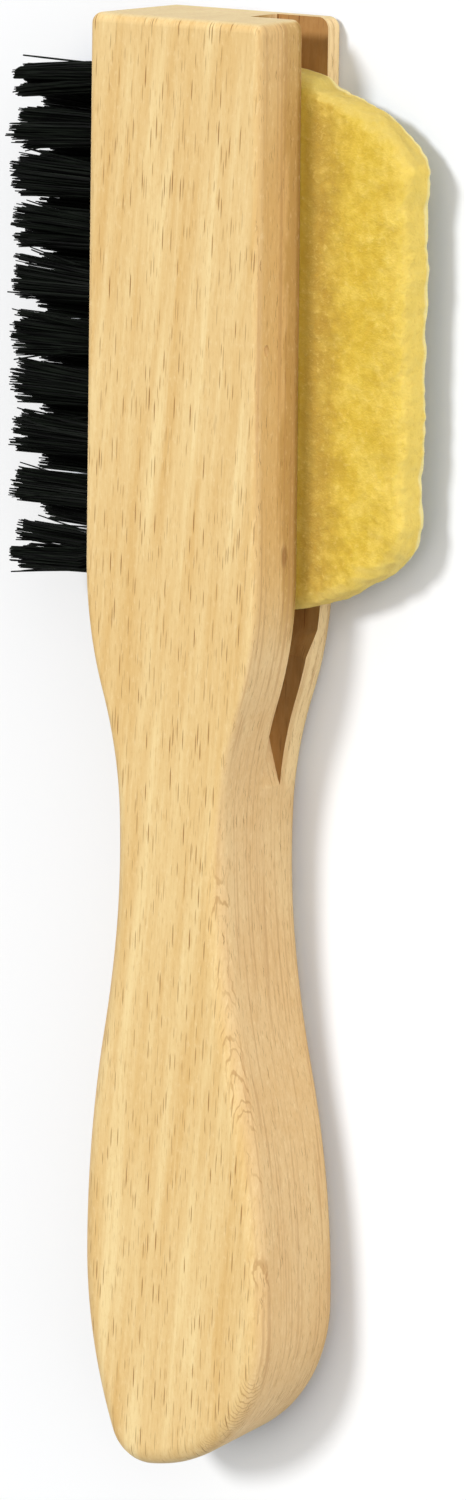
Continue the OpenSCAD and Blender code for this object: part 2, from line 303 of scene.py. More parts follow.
def cylinder_mesh(name, r, low, high, sides=48):
    """A cylinder along +Z from low to high, in millimetres."""
    ring = [(r * math.cos(2 * math.pi * i / sides), r * math.sin(2 * math.pi * i / sides))
            for i in range(sides)]
    return prism(name, ring, 2, low, high)


def linear(rgb):
    """Linear values of a colour written as 0 to 255."""
    out = [c / 255 / 12.92 if c / 255 <= 0.04045 else ((c / 255 + 0.055) / 1.055) ** 2.4
           for c in rgb]
    return (*out, 1.0)


class Nodes:
    """A node tree, with short calls that add a node and return its output."""

    def __init__(self, tree):
        self.nodes, self.links = tree.nodes, tree.links
        self.nodes.clear()

    def add(self, kind, inputs, output=0, **settings):
        node = self.nodes.new(kind)
        for key, value in settings.items():
            setattr(node, key, value)
        for key, value in inputs.items():
            self.feed(node.inputs[key], value)
        return node.outputs[output] if node.outputs else None

    def feed(self, socket, value):
        if isinstance(value, bpy.types.NodeSocket):
            self.links.new(value, socket)
        else:
            socket.default_value = value

    def math(self, operation, a, b=0.0, clamp=False):
        return self.add("ShaderNodeMath", {0: a, 1: b}, operation=operation, use_clamp=clamp)

    def times(self, a, b):
        return self.math("MULTIPLY", a, b)

    def scaled(self, a, b, plus):
        """a times b, plus a third value."""
        return self.add("ShaderNodeMath", {0: a, 1: b, 2: plus}, operation="MULTIPLY_ADD")

    def ramp(self, value, low, high, smooth=True):
        """0 below low, 1 above high."""
        return self.add(
            "ShaderNodeMapRange",
            {"Value": value, "From Min": low, "From Max": high, "To Min": 0.0, "To Max": 1.0},
            interpolation_type="SMOOTHSTEP" if smooth else "LINEAR",
            clamp=True,
        )

    def mix(self, factor, a, b, blend="MIX"):
        return self.add(
            "ShaderNodeMix", {0: factor, 6: a, 7: b}, output=2, data_type="RGBA",
            blend_type=blend, clamp_factor=True,
        )

    def mixed_shaders(self, factor, a, b):
        return self.add("ShaderNodeMixShader", {0: factor, 1: a, 2: b})

    def xyz(self, vector):
        node = self.nodes.new("ShaderNodeSeparateXYZ")
        self.links.new(vector, node.inputs[0])
        return node.outputs


class Surface(Nodes):
    """The nodes of a piece's material, in the piece's own coordinates."""

    def __init__(self, name):
        self.material = bpy.data.materials.new(name)
        self.material.use_nodes = True
        super().__init__(self.material.node_tree)
        self.coords = self.add("ShaderNodeTexCoord", {}, "Object")
        self.place = self.xyz(self.coords)
        self.normal = self.xyz(self.add("ShaderNodeNewGeometry", {}, "Normal"))

    def cells(self, size, tilt=0.0, shift=(0, 0, 0)):
        """Coordinates counted in cells of a size in millimetres, turned about Z by
        degrees."""
        return self.add(
            "ShaderNodeMapping",
            {
                "Vector": self.coords,
                "Location": [x * MM for x in shift],
                "Rotation": (0, 0, math.radians(tilt)),
                "Scale": [x * MM for x in size],
            },
            vector_type="TEXTURE",
        )

    def plane(self, u, v, size, tilt):
        """Coordinates of a plane counted in cells of a size in millimetres."""
        flat = self.add("ShaderNodeCombineXYZ", {0: u, 1: v})
        return self.add(
            "ShaderNodeMapping",
            {
                "Vector": flat,
                "Rotation": (0, 0, math.radians(tilt)),
                "Scale": (size[0] * MM, size[1] * MM, 1.0),
            },
            vector_type="TEXTURE",
        )

    def noise(self, vector, detail, roughness=0.5):
        return self.add(
            "ShaderNodeTexNoise",
            {"Vector": vector, "Scale": 1.0, "Detail": detail, "Roughness": roughness},
        )

    def fade(self, value, span):
        """A ramp between two places in millimetres."""
        return self.ramp(value, span[0] * MM, span[1] * MM)

    def tint(self, colour, where, share, rgb):
        """The colour, tinted by a share where the second value is 1."""
        return self.mix(self.times(where, share), colour, linear(rgb))

    def bump(self, height, distance, strength):
        return self.add(
            "ShaderNodeBump", {"Height": height, "Distance": distance, "Strength": strength}
        )

    def finish(self, colour, roughness, relief, **sockets):
        sockets = {name.replace("_", " "): value for name, value in sockets.items()}
        shader = self.add(
            "ShaderNodeBsdfPrincipled",
            {"Base Color": colour, "Roughness": roughness, "Normal": relief, **sockets},
        )
        self.add("ShaderNodeOutputMaterial", {"Surface": shader})
        return self.material


def marks(t, u, v, cell, tilt, keep, size, grow):
    """Sparse spindle-shaped marks, one in some of the cells of a plane, from 0 to 1."""
    node = t.nodes.new("ShaderNodeTexVoronoi")
    node.voronoi_dimensions = "2D"
    node.inputs["Scale"].default_value = 1.0
    t.links.new(t.plane(u, v, cell, tilt), node.inputs["Vector"])
    rnd = t.nodes.new("ShaderNodeSeparateColor")
    t.links.new(node.outputs["Color"], rnd.inputs[0])
    radius = t.scaled(rnd.outputs[1], grow, size)
    mark = t.ramp(t.math("SUBTRACT", radius, node.outputs["Distance"]), 0.0, 0.11)
    kept = t.math("GREATER_THAN", rnd.outputs[0], 1 - keep)
    return t.times(mark, t.times(kept, t.scaled(rnd.outputs[2], 0.65, 0.35)))


def ridge_arches(t):
    """Growth rings that arch along the rounded edge of the handle, from 0 to 1."""
    warp = t.noise(t.cells(ARCH_WARP_CELL), 3, 0.6)
    depth = t.times(t.math("ADD", t.place[0], t.place[2]), RING_SHARE / MM)
    drift = t.noise(t.cells(ARCH_DRIFT_CELL, shift=(1, 5, 2)), 1)
    phase = t.scaled(warp, 2.8, t.scaled(drift, 5.0, depth))
    rings = t.ramp(t.math("SINE", t.times(phase, 2 * math.pi)), 0.45, 0.98)
    ridge = t.times(t.ramp(t.normal[0], 0.15, 0.42), t.ramp(t.normal[2], 0.15, 0.42))
    patches = t.ramp(t.noise(t.cells(ARCH_PATCH_CELL, shift=(3, 1, 2)), 2), 0.39, 0.56)
    return t.times(t.times(rings, patches), t.times(ridge, t.fade(t.place[1], ARCH_Y)))


def wall_tints(t, colour):
    """The head's side wall: painted warm reflection and shade from the crepe, painted shade towards
    the slot and a painted contact shadow at it, its dark fleck, and painted light on the pale lip.
    """
    outer = t.ramp(t.normal[0], 0.3, 0.8)
    head = t.times(t.fade(t.place[1], HEAD_WALL_Y), outer)
    head = t.times(head, t.fade(t.place[2], HEAD_WALL_Z))
    # Painted warm reflection and shade from the crepe on the head's side wall
    colour = t.tint(colour, head, 0.4, WOOD_PAINTED_BOUNCE)
    # Painted shade on the lower side wall towards the slot, its edge made to stray
    level = t.math("SUBTRACT", t.place[2], WALL_STRAY / 2 * MM)
    level = t.scaled(t.noise(t.cells(WALL_CELL), 3), WALL_STRAY * MM, level)
    colour = t.tint(colour, t.times(head, t.fade(level, WALL_SHADE_Z)), 0.75, WOOD_PAINTED_SHADE)
    # Painted contact shadow: a dark line where the side wall meets the slot
    line = t.times(head, t.fade(t.place[2], WALL_LINE_Z))
    colour = t.tint(colour, line, 0.85, WOOD_CONTACT_SHADOW)
    # Painted light: the low rear lip facing out is made lighter than the wood
    lip = t.times(t.times(t.fade(t.place[1], LIP_Y), outer), t.fade(t.place[2], LIP_Z))
    colour = t.tint(colour, lip, 0.85, WOOD_LIP_LIGHT)
    offset = t.add(
        "ShaderNodeVectorMath", {0: t.coords, 1: [x * MM for x in FLECK_AT]},
        operation="SUBTRACT",
    )
    offset = t.add("ShaderNodeVectorMath", {0: offset, 1: FLECK_SHARE}, operation="MULTIPLY")
    far = t.add("ShaderNodeVectorMath", {0: offset}, "Value", operation="LENGTH")
    return t.tint(colour, t.ramp(far, 1.0, 0.3), 0.8, FLECK)


def ray_marks(t, side, end):
    """Dark ray marks: sparse on the broad faces, finer and crooked on the sides."""
    x, y, z = t.place
    bold, faint = marks(t, x, y, *BOLD_RAYS), marks(t, x, y, *FAINT_RAYS)
    wander = t.scaled(t.noise(t.cells(CROOKED_CELL), 2), 0.5 * MM, z)
    side_bold = marks(t, wander, y, *SIDE_BOLD_RAYS)
    side_faint = marks(t, wander, y, *SIDE_FAINT_RAYS)
    side_rays = t.times(t.scaled(side_faint, 0.7, side_bold), 0.85)
    broad = t.math("SUBTRACT", 1.0, t.math("MAXIMUM", side, end))
    broad_rays = t.times(t.scaled(faint, 0.45, bold), broad)
    return t.math("ADD", broad_rays, t.times(side_rays, side), clamp=True)


def beech(name, groove=False):
    """Steamed beech: slanted bands, streaks, fine fibre, dark ray marks, and rings that
    arch along the handle's edge, with painted reflection, shade and light on the head's
    side wall and rear lip. In a groove, the walls that don't face out get painted shade in
    patches."""
    t = Surface(name)
    side = t.ramp(t.math("ABSOLUTE", t.normal[0]), 0.35, 0.85)
    end = t.ramp(t.math("ABSOLUTE", t.normal[1]), 0.6, 0.95)
    bands = t.noise(t.cells(BAND_CELL, BAND_TILT), 3, 0.6)
    streaks = t.noise(t.cells(STREAK_CELL, STREAK_TILT), 3, 0.6)
    fibre = t.noise(t.cells(FIBRE_CELL), 2, 0.6)
    mottle = t.noise(t.cells(MOTTLE_CELL), 3, 0.7)

    colour = t.mix(t.ramp(bands, 0.30, 0.52), linear(WOOD_DEEP), linear(WOOD_MID))
    colour = t.mix(t.ramp(bands, 0.48, 0.68), colour, linear(WOOD_PALE))
    colour = t.tint(colour, t.ramp(streaks, 0.5, 0.72), 0.32, STREAK_DEEP)
    colour = t.tint(colour, t.ramp(streaks, 0.5, 0.3), 0.26, STREAK_PALE)
    colour = t.tint(colour, side, 0.6, WOOD_SIDE)
    colour = t.tint(colour, end, 0.7, WOOD_END)
    colour = wall_tints(t, colour)
    colour = t.tint(colour, t.ramp(fibre, 0.5, 0.8), 0.42, FIBRE_DEEP)
    colour = t.tint(colour, t.ramp(mottle, 0.52, 0.8), 0.42, MOTTLE_DEEP)
    colour = t.tint(colour, t.ramp(mottle, 0.48, 0.24), 0.36, MOTTLE_PALE)
    rays = ray_marks(t, side, end)
    colour = t.tint(colour, rays, 0.85, WOOD_RAY)
    lines = t.ramp(t.noise(t.cells(LINE_CELL), 2), 0.52, 0.7)
    colour = t.tint(colour, t.times(lines, side), 0.5, SIDE_LINE)
    colour = t.tint(colour, ridge_arches(t), 0.55, ARCH)

    if groove:
        # Painted shade on the groove's walls, darker in patches, except where they face out of the
        # slot
        toned = t.mix(0.85, colour, linear(GROOVE_SHADE), blend="MULTIPLY")
        shade_patches = t.ramp(t.noise(t.cells(GROOVE_SHADE_CELL), 3), 0.4, 0.7)
        toned = t.tint(toned, shade_patches, 0.45, GROOVE_SHADE_PATCH)
        colour = t.mix(t.ramp(t.normal[0], 0.5, 0.9), toned, colour)
    height = t.math("SUBTRACT", t.times(fibre, 0.5), t.times(rays, 0.6))
    relief = t.bump(height, 0.03 * MM, 0.8)
    return t.finish(colour, t.scaled(fibre, 0.12, 0.56), relief, Specular_IOR_Level=0.35)


def crepe_edges(t, colour, blotch):
    """The crepe's paler outer edge and lower end, the painted shade beside the wood, painted shade and
    light on its rounded edges, and painted shade on its upper end and light on its lower end.
    """
    x, y, z = t.place
    across = t.math("SUBTRACT", x, (FLOOR_X + GLUE_GAP) * MM)
    along = t.math("SUBTRACT", y, CREPE_MID_Y * MM)
    span = t.math("ADD", t.times(across, across), t.times(along, along))
    span = t.math("SQRT", span)
    ragged = t.scaled(blotch, CREPE_STRAY * MM, -CREPE_STRAY / 2 * MM)
    lower_half = t.scaled(t.fade(along, LOWER_HALF_Y), 0.85, 0.15)
    from_end = t.times(t.fade(t.math("ADD", span, ragged), RIM_R), lower_half)
    from_side = t.fade(t.math("ADD", x, ragged), RIM_X)
    colour = t.tint(colour, t.math("MAXIMUM", from_end, from_side), 0.6, CREPE_OUTER)

    # Painted shade on the strip beside the wood, with a ragged edge, weaker towards the ends
    shade_reach = t.math("ADD", x, t.times(ragged, 0.7))
    near = t.times(t.fade(shade_reach, NEAR_X), t.fade(x, CONTACT_X))
    off_end = t.fade(t.math("ADD", t.math("ABSOLUTE", along), ragged), OFF_END_Y)
    near = t.times(near, t.scaled(off_end, 0.6, 0.4))
    colour = t.tint(colour, near, 0.75, CREPE_NEAR_SHADE)

    flat = t.math("ABSOLUTE", t.normal[2])
    # Painted shade where the rounded edges turn, to dull their highlight
    rounded = t.times(t.ramp(flat, 0.98, 0.85), t.ramp(flat, 0.3, 0.55))
    colour = t.tint(colour, rounded, 0.15, CREPE_MID)
    # Painted light on the rounded edges and sides, lighter than the face
    patchy = t.scaled(t.ramp(blotch, 0.36, 0.62), 0.3, 0.55)
    edge = t.times(t.ramp(flat, 0.98, 0.4), t.math("ADD", patchy, 0.05))
    colour = t.mix(edge, colour, linear(CREPE_EDGE_LIGHT))
    # Painted shade on faces turned up the brush, towards the lamp, and painted light on faces turned
    # down it
    for way, rgb in ((0.9, CREPE_UPPER_SHADE), (-0.9, CREPE_LOWER_LIGHT)):
        colour = t.tint(colour, t.ramp(t.normal[1], 0.0, way), patchy, rgb)
    return colour


def crepe_rubber(name):
    """Crepe rubber: pressed crumb in mottled yellows, with painted brown shade near the wood."""
    t = Surface(name)
    blotch = t.noise(t.cells(BLOTCH_CELL), 5, 0.66)
    crumb = t.noise(t.cells(CRUMB_CELL), 3, 0.7)
    speck = t.noise(t.cells(SPECK_CELL), 2)
    colour = t.mix(t.ramp(blotch, 0.34, 0.54), linear(CREPE_DEEP), linear(CREPE_MID))
    colour = t.mix(t.ramp(blotch, 0.48, 0.68), colour, linear(CREPE_PALE))
    colour = crepe_edges(t, colour, blotch)
    colour = t.tint(colour, t.ramp(crumb, 0.52, 0.76), 0.34, CRUMB_PALE)
    colour = t.tint(colour, t.ramp(crumb, 0.48, 0.26), 0.28, CRUMB_DEEP)
    colour = t.tint(colour, t.ramp(speck, 0.6, 0.8), 0.25, SPECK)
    # Painted light shining through the crepe's thin back edge
    colour = t.tint(colour, t.fade(t.place[2], BACK_GLOW_Z), 0.8, CREPE_BACK_GLOW)
    relief = t.bump(t.math("ADD", t.times(crumb, 0.7), t.times(speck, 0.3)), 0.3 * MM, 0.7)
    return t.finish(
        colour, 0.7, relief, Specular_IOR_Level=0.15, Subsurface_Weight=0.12,
        Subsurface_Radius=(1.0, 0.85, 0.4), Subsurface_Scale=1.0 * MM,
    )


def black_bristle(name):
    """Black plastic bristle, its tone drifting along each strand."""
    t = Surface(name)
    tone = t.noise(t.cells((9, 0.35, 0.35)), 2)
    colour = t.mix(t.ramp(tone, 0.35, 0.7), linear(BRISTLE_DEEP), linear(BRISTLE_PALE))
    relief = t.bump(t.noise(t.cells((0.4, 0.1, 0.1)), 1), 0.01 * MM, 0.5)
    return t.finish(colour, t.scaled(tone, 0.2, 0.42), relief, Specular_IOR_Level=0.08)


def wire_steel(name):
    """Drawn steel wire with fine lines along it."""
    t = Surface(name)
    drawn = t.noise(t.cells((1.2, 0.1, 0.04)), 2)
    colour = t.mix(drawn, linear(STEEL_DEEP), linear(STEEL_PALE))
    relief = t.bump(drawn, 0.01 * MM, 0.6)
    return t.finish(colour, t.scaled(drawn, 0.2, 0.3), relief, Metallic=1.0)


beech_face = beech("beech_face")
beech_groove = beech("beech_groove", groove=True)
crepe_yellow = crepe_rubber("crepe_yellow")
bristle_black = black_bristle("bristle_black")
anchor_steel = wire_steel("anchor_steel")


def mirrored(outline):
    """An outline with its normals, on the other side of the brush."""
    return outline * np.array([-1, 1, -1, 1])


def with_material(mesh, material):
    mesh.materials.clear()
    mesh.materials.append(material)
    return mesh


# Heights of the two rows of tufts, their first places along the brush, and each tuft's
# row, number and place
ROW_Z = (BLOCK_T / 2 + ROW_GAP / 2, BLOCK_T / 2 - ROW_GAP / 2)
ROW_Y = (HEAD_Y - TUFT_AT, HEAD_Y - TUFT_AT - TUFT_PITCH / 2)
TUFTS = [
    (row, i, ROW_Y[row] - i * TUFT_PITCH, ROW_Z[row])
    for row in (0, 1)
    for i in range(TUFT_N - row)
]


def to_tuft(y, z):
    """The turn and shift that lay a shape made along +Z out along -X at a tuft."""
    turn = Matrix.Rotation(math.radians(-90), 4, "Y")
    return Matrix.Translation((0, y * MM, z * MM)) @ turn


def slot_cutters():
    """The crepe's seat with its slanted end, then the narrower run-out of a disc."""
    seat_end = HEAD_Y - SEAT_L
    ramp_end = seat_end - SEAT_RAMP
    run_back = SEAT_FRONT - RUNOUT_W
    runout_y = HEAD_Y - RUNOUT_AT
    out_x = FACE_X + PAST
    yield prism(
        "seat",
        [(HEAD_Y + PAST, SEAT_BACK), (HEAD_Y + PAST, SEAT_FRONT), (ramp_end, SEAT_FRONT),
         (ramp_end, run_back), (seat_end, SEAT_BACK)],
        0, FLOOR_X, out_x,
    )
    last_a = math.acos(1 - (out_x - FLOOR_X) / CUTTER_R)
    disc = [
        (FLOOR_X + CUTTER_R - CUTTER_R * math.cos(a), runout_y - CUTTER_R * math.sin(a))
        for a in np.linspace(0, last_a, 60)
    ]
    corners = [(FLOOR_X, runout_y + 2)] + disc + [(out_x, runout_y + 2)]
    yield prism("runout", corners, 2, run_back, SEAT_FRONT)


def chip_mesh():
    """A small nick in the front edge of the head, on the crepe's side."""
    chip = bmesh.new()
    bmesh.ops.create_icosphere(chip, subdivisions=3, radius=1.0)
    mesh = bpy.data.meshes.new("chip")
    chip.to_mesh(mesh)
    chip.free()
    place = Matrix.Translation(Vector(CHIP_AT) * MM)
    size = Matrix.Diagonal((*[r * MM for r in CHIP_R], 1))
    mesh.transform(place @ Matrix.Rotation(math.radians(CHIP_TURN), 4, "Z") @ size)
    return mesh


def shade_smooth(mesh, angle):
    mesh.polygons.foreach_set("use_smooth", [True] * len(mesh.polygons))
    mesh.set_sharp_from_angle(angle=math.radians(angle))


def make_block():
    right = half_outline(*PALM, -TIP_X)
    left = half_outline(*FINGER, TIP_X)
    outline = np.vstack([right, mirrored(left[:-1])[::-1]])
    mesh = ring_solid("beech_block", outline, edge_r(outline[:, 1]), 0, BLOCK_T, BLOCK_EDGE_STEPS)
    obj = new_object("beech_block", with_material(mesh, beech_face))
    for cutter in slot_cutters():
        cut(obj, with_material(cutter, beech_groove))
    bores = bmesh.new()
    for _, _, y, z in TUFTS:
        bore = cylinder_mesh("bore", BORE_R, BORE_END_X, BORE_END_X + BORE_DEPTH + PAST)
        bore.transform(to_tuft(y, z))
        bores.from_mesh(bore)
    bore_mesh = bpy.data.meshes.new("bores")
    bores.to_mesh(bore_mesh)
    bores.free()
    cut(obj, with_material(bore_mesh, beech_groove))
    cut(obj, with_material(chip_mesh(), beech_face))
    shade_smooth(obj.data, 32)
    weighted = obj.modifiers.new("weighted", "WEIGHTED_NORMAL")
    weighted.keep_sharp = True
    return obj


block = make_block()
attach(block, BODY)
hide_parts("block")


def crepe_outline():
    """The slab's outline about the middle of its length, in the slot and out of it."""
    in_x = FLOOR_X + GLUE_GAP
    out_x = FACE_X + CREPE_OUT
    half_l = CREPE_L / 2
    end = (in_x, half_l - CREPE_END_R)
    reach = CREPE_END_R - CREPE_CORNER_R
    corner_dx = out_x - CREPE_CORNER_R - in_x
    corner = (in_x + corner_dx, end[1] + math.sqrt(reach**2 - corner_dx**2))
    end_a = math.degrees(math.atan2(corner[1] - end[1], corner[0] - end[0]))
    upper = np.vstack([
        [in_x, half_l, 0, 1],
        arc(end, CREPE_END_R, 90, end_a, CREPE_END_STEPS),
        arc(corner, CREPE_CORNER_R, end_a, 0, CREPE_CORNER_STEPS),
    ])
    lower = upper[::-1] * np.array([1, -1, 1, -1])
    return np.vstack([upper, lower])


# Radii to which the crepe's front and back edges are worn round
CREPE_ROUND_R, CREPE_UNDER_R = 2.3, 1.1
# Size of the voxels and the smoothing that give the slab its even mesh
VOXEL, SMOOTHING, SMOOTH_PASSES = 0.36, 0.5, 3
# Lumps of the crumb and nibbles of the outer edge: height and length in millimetres
LUMP, FINE_LUMP, NIBBLE = (0.26, 3.6), (0.2, 1.25), (0.34, 2.6)
# How far the crumb's surface and the outer edge lie below the slab's own, on average
LUMP_BELOW, NIBBLE_BELOW = 0.14, 0.36
# How far the crepe stays below the CAD's greatest width
CREPE_KEEP = 0.02
# Dents in the crepe's outer edge: place along the brush, depth and half length
EDGE_DENTS = ((76.6, 0.45, 2.4), (60.0, 0.45, 3.0), (41.0, 0.35, 2.2), (32.6, 0.4, 2.0))
# Wear of the crepe's upper corner beside the wood
CORNER_FROM, CORNER_WORN = 84.0, 1.0


def crepe_shift(p, normal):
    """How far a point of the crepe moves, for its crumb and its nibbled edge."""
    free = float(smoothstep((p.x - FACE_X - 0.2) / 2.0))
    lump = LUMP[0] * noise.noise(p / LUMP[1])
    lump += FINE_LUMP[0] * noise.noise(p / FINE_LUMP[1] + Vector((7, 3, 1)))
    shift = normal * (lump - LUMP_BELOW)
    outward = max(0.0, normal.x) * float(smoothstep((p.x - FACE_X - 6) / 5))
    nibble = noise.noise(Vector((0, p.y / NIBBLE[1], 4.2)))
    nibble += 0.3 * noise.noise(Vector((3, p.y / (NIBBLE[1] / 2), 0)))
    dents = sum(depth * math.exp(-((p.y - y) / half_l) ** 2) for y, depth, half_l in EDGE_DENTS)
    shift.x += (NIBBLE[0] * nibble - NIBBLE_BELOW - dents) * outward
    corner = float(smoothstep((p.y - CORNER_FROM) / 3) * smoothstep((26 - p.x) / 9))
    shift.y -= CORNER_WORN * corner * max(0.0, normal.y)
    return shift * free


def make_crepe():
    outline = crepe_outline()
    outline[:, 1] += CREPE_MID_Y
    low, high = SEAT_BACK + GLUE_GAP, SEAT_FRONT - GLUE_GAP
    round_r, under_r = (np.full(len(outline), r) for r in (CREPE_ROUND_R, CREPE_UNDER_R))
    mesh = ring_solid("crepe_rubber", outline, round_r, low, high, CREPE_EDGE_STEPS, under_r)
    obj = new_object("crepe_rubber", mesh)
    remesh = obj.modifiers.new("voxels", "REMESH")
    remesh.mode = "VOXEL"
    remesh.voxel_size = VOXEL * MM
    smooth = obj.modifiers.new("smooth", "SMOOTH")
    smooth.factor, smooth.iterations = SMOOTHING, SMOOTH_PASSES
    apply_modifiers(obj)
    mesh = with_material(obj.data, crepe_yellow)
    limit_x = cad_high[0] - CREPE_KEEP * MM
    moved = [v.co + crepe_shift(v.co / MM, v.normal) * MM for v in mesh.vertices]
    for v, co in zip(mesh.vertices, moved):
        v.co = (min(co.x, limit_x), co.y, co.z)
    mesh.polygons.foreach_set("use_smooth", [True] * len(mesh.polygons))
    return obj


crepe = make_crepe()
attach(crepe, BODY)
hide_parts("crepe_slab")


# The strands of each tuft: count, radius in millimetres, steps along and sides
STRANDS, STRAND_R, STRAND_STEPS, STRAND_SIDES = 170, 0.12, 6, 4
ROW_NAME = ("front", "back")
# How far each tuft of the front row leans along the brush at its tips, and its
# half width there
FRONT_LEAN = (-1.6, -0.4, 0.0, 0.0, 0.2, -0.4, 0.1, 0.0, -0.2, -1.9)
FRONT_HALF_W = (2.5, 3.6, 3.3, 3.2, 3.2, 3.5, 3.2, 3.4, 2.7, 3.9)
BACK_LEAN, BACK_HALF_W = 0.1, 3.6
SPLAY_R = (2.2, 2.7)
# The last tuft of the front row spreads and leans as soon as it leaves the wood
LAST_FOOT, LAST_SPLAY = -1.3, 2.8
# The tips gather in clumps: how many, how far towards a clump's middle, and the tuft's
# half thickness there and the spread of each tip
CLUMPS, GATHER, TIP_HALF_T, TIP_SPREAD = 11, (0.15, 0.55), 2.5, 0.13
# Share of strands that stray along the brush, and how far
STRAY_SHARE, STRAY_BY = 0.04, 2.4
# Strands fall short by clump and singly, and a few by much more
CLUMP_SHORT, SINGLE_SHORT, FEW_SHARE, FEW_SHORT = (0.2, 1.2), 0.9, 0.06, (0.8, 2.2)
# How far the longest strands stay below the tufts' full length, how deep a strand
# starts in its root, and how much a strand bows
TIP_KEEP, IN_ROOT, BOW = 0.03, 0.6, 0.1
# A strand's width at its tip, and the turn from one strand to the next in degrees
TIP_TAPER, GOLDEN_TURN = 0.8, 137.508
rng = np.random.default_rng(41)


def root_plug():
    """The folded root of a tuft, slit for its anchor, along +Z."""
    obj = new_object("root", cylinder_mesh("root", ROOT_R, BORE_END_X, ROOT_TOP_X, 40))
    half_t = ANCHOR_T / 2 + ANCHOR_GAP
    low = BORE_END_X + BEND_T - ANCHOR_GAP
    box = [(-ROOT_R - 1, -half_t), (ROOT_R + 1, -half_t), (ROOT_R + 1, half_t),
           (-ROOT_R - 1, half_t)]
    cut(obj, prism("slit", box, 2, low, low + ANCHOR_H + 2 * ANCHOR_GAP))
    mesh = obj.data
    bpy.data.objects.remove(obj)
    return mesh


def strand_paths(n, lean, half_w, foot, splay_r):
    """Points of n strands in the tuft's own frame, out along Z: (n, steps + 1, 3)."""
    share = np.sqrt((np.arange(n) + 0.5) / n)
    angle = math.radians(GOLDEN_TURN) * np.arange(n) + rng.uniform(0, 2 * math.pi)
    unit = share[:, None] * np.stack([np.cos(angle), np.sin(angle)], 1)
    root = (ROOT_R - STRAND_R - 0.05) * unit
    wide = (splay_r - STRAND_R) * unit + np.array([0, foot])
    centre_a = rng.uniform(0, 2 * math.pi, CLUMPS)
    centre = np.sqrt(rng.uniform(0.05, 0.8, CLUMPS))[:, None] * np.stack(
        [np.cos(centre_a), np.sin(centre_a)], 1
    )
    nearest = np.argmin(np.linalg.norm(unit[:, None] - centre[None], axis=2), axis=1)
    gather = rng.uniform(*GATHER, CLUMPS)[nearest][:, None]
    tip = (unit + gather * (centre[nearest] - unit)) * np.array([TIP_HALF_T, half_w])
    tip += rng.normal(0, TIP_SPREAD, (n, 2)) + np.array([0, lean])
    stray = rng.random(n) < STRAY_SHARE
    tip[stray, 1] += rng.uniform(-STRAY_BY, STRAY_BY, stray.sum())

    full = FACE_X + TUFT_OUT - TIP_KEEP
    short = rng.uniform(*CLUMP_SHORT, CLUMPS)[nearest] + SINGLE_SHORT * rng.beta(1.2, 3.0, n)
    short[rng.random(n) < FEW_SHARE] += rng.uniform(*FEW_SHORT)
    short[rng.integers(0, n, 3)] = 0
    length = full - short

    start = ROOT_TOP_X - IN_ROOT
    t = np.linspace(0, 1, STRAND_STEPS + 1)[None, :, None]
    z = start + (length - start)[:, None, None] * t
    out = z - FACE_X
    spread = smoothstep((out + 1.5) / 5)
    reach = np.clip(out / TUFT_OUT, 0, 1) ** 1.2
    xy = root[:, None] * (1 - spread) + wide[:, None] * spread
    xy = xy * (1 - reach) + tip[:, None] * reach
    bow = rng.normal(0, BOW, (n, 2))
    xy = xy + bow[:, None] * np.sin(math.pi * t)
    return np.concatenate([xy, z], axis=2)


def tubes(paths):
    """Thin tapered tubes along paths, as points and faces."""
    n, rings, _ = paths.shape
    turn = rng.uniform(0, math.pi, n)[:, None, None]
    r = STRAND_R * rng.uniform(0.85, 1.1, n)[:, None, None]
    taper = np.ones(rings)
    taper[-1] = TIP_TAPER
    a = turn + 2 * math.pi * np.arange(STRAND_SIDES)[None, None] / STRAND_SIDES
    points = np.repeat(paths[:, :, None], STRAND_SIDES, axis=2)
    points[..., 0] += r * taper[None, :, None] * np.cos(a)
    points[..., 1] += r * taper[None, :, None] * np.sin(a)
    s = np.arange(STRAND_SIDES)
    up = (s + 1) % STRAND_SIDES
    wall = np.stack([s, up, up + STRAND_SIDES, s + STRAND_SIDES], 1)
    one = [wall + k * STRAND_SIDES for k in range(rings - 1)]
    one.append(s[None, ::-1])
    one.append(s[None] + (rings - 1) * STRAND_SIDES)
    one = np.vstack(one)
    faces = one[None] + (np.arange(n) * rings * STRAND_SIDES)[:, None, None]
    return points.reshape(-1, 3), faces.reshape(-1, STRAND_SIDES).tolist()


def make_tufts():
    """Each tuft as one piece: its folded root and its splayed strands."""
    plug = root_plug()
    for row, i, y, z in TUFTS:
        name = f"{ROW_NAME[row]}_{i + 1:02d}"
        lean = FRONT_LEAN[i] if row == 0 else BACK_LEAN + rng.normal(0, 0.4)
        half_w = FRONT_HALF_W[i] if row == 0 else BACK_HALF_W
        foot = (LAST_FOOT, LAST_SPLAY) if (row, i) == (0, TUFT_N - 1) else (0, SPLAY_R[row])
        points, faces = tubes(strand_paths(STRANDS, lean, half_w, *foot))
        joined = bmesh.new()
        joined.from_mesh(plug)
        joined.from_mesh(mesh_of("strands", points, faces))
        mesh = bpy.data.meshes.new(f"bristles_{name}")
        joined.to_mesh(mesh)
        joined.free()
        mesh.transform(to_tuft(y, z))
        obj = new_object(f"bristles_{name}", with_material(mesh, bristle_black))
        shade_smooth(mesh, 60)
        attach(obj, BODY)
        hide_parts(f"tuft_{name}")


make_tufts()
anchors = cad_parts["tuft_anchors"]
with_material(anchors.data, anchor_steel)


FLOOR_SIZE, FLOOR_DROP = 3.0, 0.02
# Floor colours: where it is open, its painted shade close to the brush, and as other surfaces see it
FLOOR_OPEN, FLOOR_CLOSE_SHADE, FLOOR_DIM = (0.98, 0.99, 1.0, 1), (0.80, 0.86, 0.96, 1), (0.72, 0.72, 0.72, 1)
